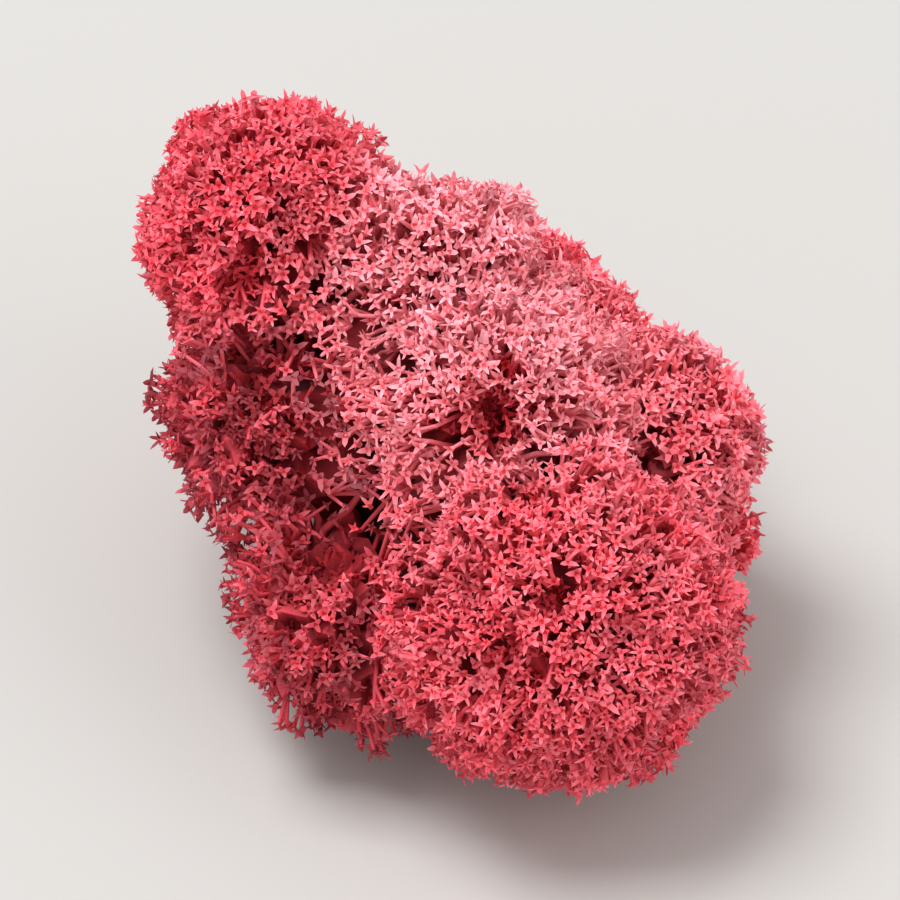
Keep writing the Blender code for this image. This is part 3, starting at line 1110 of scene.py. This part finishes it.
@cache
def lichen_material(slot):
    """The material of one slot, in the colours of its dye and of the paler one that it runs into."""
    colours = bpy.context.scene.moss_colours
    material = bpy.data.materials.new(f"{slot}_lichen")
    material.use_nodes = True
    nodes = material.node_tree.nodes
    links = material.node_tree.links
    shader = nodes["Principled BSDF"]
    look = nodes.new("ShaderNodeGroup")
    look.node_tree = dyed_lichen_group()
    dye, pale_dye = DYES[slot]
    # The depth colour is painted shade, and the tip colour partly painted highlight
    for part in ("tip", "body", "deep"):
        look.inputs[part.capitalize()].default_value = (*getattr(colours, f"{dye}_{part}"), 1.0)
    for part in ("tip", "body"):
        look.inputs[f"Pale {part}"].default_value = (*getattr(colours, f"{pale_dye}_{part}"), 1.0)
    bump = nodes.new("ShaderNodeBump")
    bump.inputs["Strength"].default_value = 0.35
    bump.inputs["Distance"].default_value = FELT_HEIGHT * MM
    links.new(look.outputs["Colour"], shader.inputs["Base Color"])
    links.new(look.outputs["Roughness"], shader.inputs["Roughness"])
    links.new(look.outputs["Height"], bump.inputs["Height"])
    links.new(bump.outputs["Normal"], shader.inputs["Normal"])
    shader.inputs["Metallic"].default_value = 0.0
    shader.inputs["Specular IOR Level"].default_value = 0.25
    return material


class MOSS_OT_studio(bpy.types.Operator):
    """Sets up the pale floor, the soft lights and the camera"""

    bl_idname = "moss.studio"
    bl_label = "Studio"

    def execute(self, context):
        settings = context.scene.moss_studio
        low, high = (Vector(corner) for corner in CAD_BOX)
        middle = (low + high) / 2
        lay_floor(settings)
        hang_light("key_light", settings.key, KEY_WIDTH, middle, Vector(KEY_PLACE))
        hang_light("side_light", settings.key * SIDE_SHARE, SIDE_WIDTH, middle, Vector(SIDE_PLACE))
        soften_world(context.scene)
        aim_camera(context.scene, settings, middle)
        return {"FINISHED"}


def lay_floor(settings):
    """A wide pale floor under the clump."""
    deselect_all()
    bpy.ops.mesh.primitive_plane_add(size=FLOOR_WIDTH, location=(0, 0, 0))
    floor = bpy.context.object
    floor.name = "floor"
    material = bpy.data.materials.new("floor")
    material.use_nodes = True
    shader = material.node_tree.nodes["Principled BSDF"]
    shader.inputs["Base Color"].default_value = (*settings.floor, 1.0)
    shader.inputs["Roughness"].default_value = 0.7
    floor.data.materials.append(material)


def hang_light(name, power, size, aim, place):
    """A square soft light that looks at the clump."""
    light = bpy.data.objects.new(name, bpy.data.lights.new(name, "AREA"))
    light.data.energy = power
    light.data.size = size
    light.location = place
    light.rotation_euler = (aim - place).to_track_quat("-Z", "Y").to_euler()
    bpy.context.scene.collection.objects.link(light)


def soften_world(scene):
    """An even pale surround."""
    world = bpy.data.worlds.new("surround")
    world.use_nodes = True
    background = world.node_tree.nodes["Background"]
    background.inputs["Color"].default_value = (1.0, 0.99, 0.97, 1.0)
    background.inputs["Strength"].default_value = 0.7
    scene.world = world
    scene.view_settings.view_transform = "Standard"


def aim_camera(scene, settings, middle):
    """A long lens from the front, looking down at the clump."""
    back = Vector((0, -math.cos(settings.height), math.sin(settings.height)))
    camera = bpy.data.objects.new("camera", bpy.data.cameras.new("camera"))
    scene.collection.objects.link(camera)
    span = (Vector(CAD_BOX[1]) - Vector(CAD_BOX[0])).to_2d().length * PICTURED_SHARE
    camera.data.lens = camera.data.sensor_width * settings.distance * settings.fill / span
    camera.data.clip_start, camera.data.clip_end = CAMERA_CLIP
    camera.location = middle + back * settings.distance
    camera.rotation_euler = (-back).to_track_quat("-Z", "Y").to_euler()
    scene.camera = camera


class MOSS_PT_panel(bpy.types.Panel):
    """Sizes, colours and build steps of the moss clump"""

    bl_label = "Reindeer moss clump"
    bl_idname = "MOSS_PT_panel"
    bl_space_type = "VIEW_3D"
    bl_region_type = "UI"
    bl_category = "Moss"

    def draw(self, context):
        layout = self.layout
        for name, _, label in SETTINGS:
            group = getattr(context.scene, name)
            box = layout.box()
            box.label(text=label)
            for prop in group.__annotations__:
                box.prop(group, prop)
        for step in STEPS:
            layout.operator(step.bl_idname)


SETTINGS = (
    ("moss_star", MossStar, "Star whorls"),
    ("moss_dense", MossGrowth, "Dense heads"),
    ("moss_loose", MossGrowth, "Loose heads"),
    ("moss_open", MossGrowth, "Open sprays"),
    ("moss_colours", MossColours, "Dye"),
    ("moss_studio", MossStudio, "Studio"),
)
STEPS = (MOSS_OT_stem_base, MOSS_OT_dense_heads, MOSS_OT_loose_heads, MOSS_OT_open_sprays, MOSS_OT_studio)
CLASSES = (MossStar, MossGrowth, MossColours, MossStudio, *STEPS, MOSS_PT_panel)

# What the looser heads and the sprays change from a dense head, in millimetres and shares
LOOSE_VALUES = {
    "spacing": 0.76 * MM,
    "under": 0.7,
    "under_depth": 2.2 * MM,
    "crease": 1.2 * MM,
    "mottle": 2.5,
}
OPEN_VALUES = {
    "spacing": 0.82 * MM,
    "under": 1.1,
    "under_depth": 2.9 * MM,
    "crease": 1.8 * MM,
    "core": 0.66,
    "mottle": 4.0,
}


def register():
    """Registers the classes and puts the settings on the scene."""
    for cls in CLASSES:
        bpy.utils.register_class(cls)
    for name, group, label in SETTINGS:
        setattr(bpy.types.Scene, name, PointerProperty(type=group, name=label))


def unregister():
    """Takes all that back."""
    for name, _, _ in SETTINGS:
        delattr(bpy.types.Scene, name)
    for cls in reversed(CLASSES):
        bpy.utils.unregister_class(cls)


def set_growth(scene):
    """Gives the loose heads and the open sprays their own growth."""
    for group, values in ((scene.moss_loose, LOOSE_VALUES), (scene.moss_open, OPEN_VALUES)):
        for name, value in values.items():
            setattr(group, name, value)


def write_sizes():
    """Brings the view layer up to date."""
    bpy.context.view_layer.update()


def main():
    register()
    set_growth(bpy.context.scene)
    bpy.ops.moss.stem_base()
    bpy.ops.moss.dense_heads()
    bpy.ops.moss.loose_heads()
    bpy.ops.moss.open_sprays()
    bpy.ops.moss.studio()
    write_sizes()


if __name__ == "__main__":
    main()
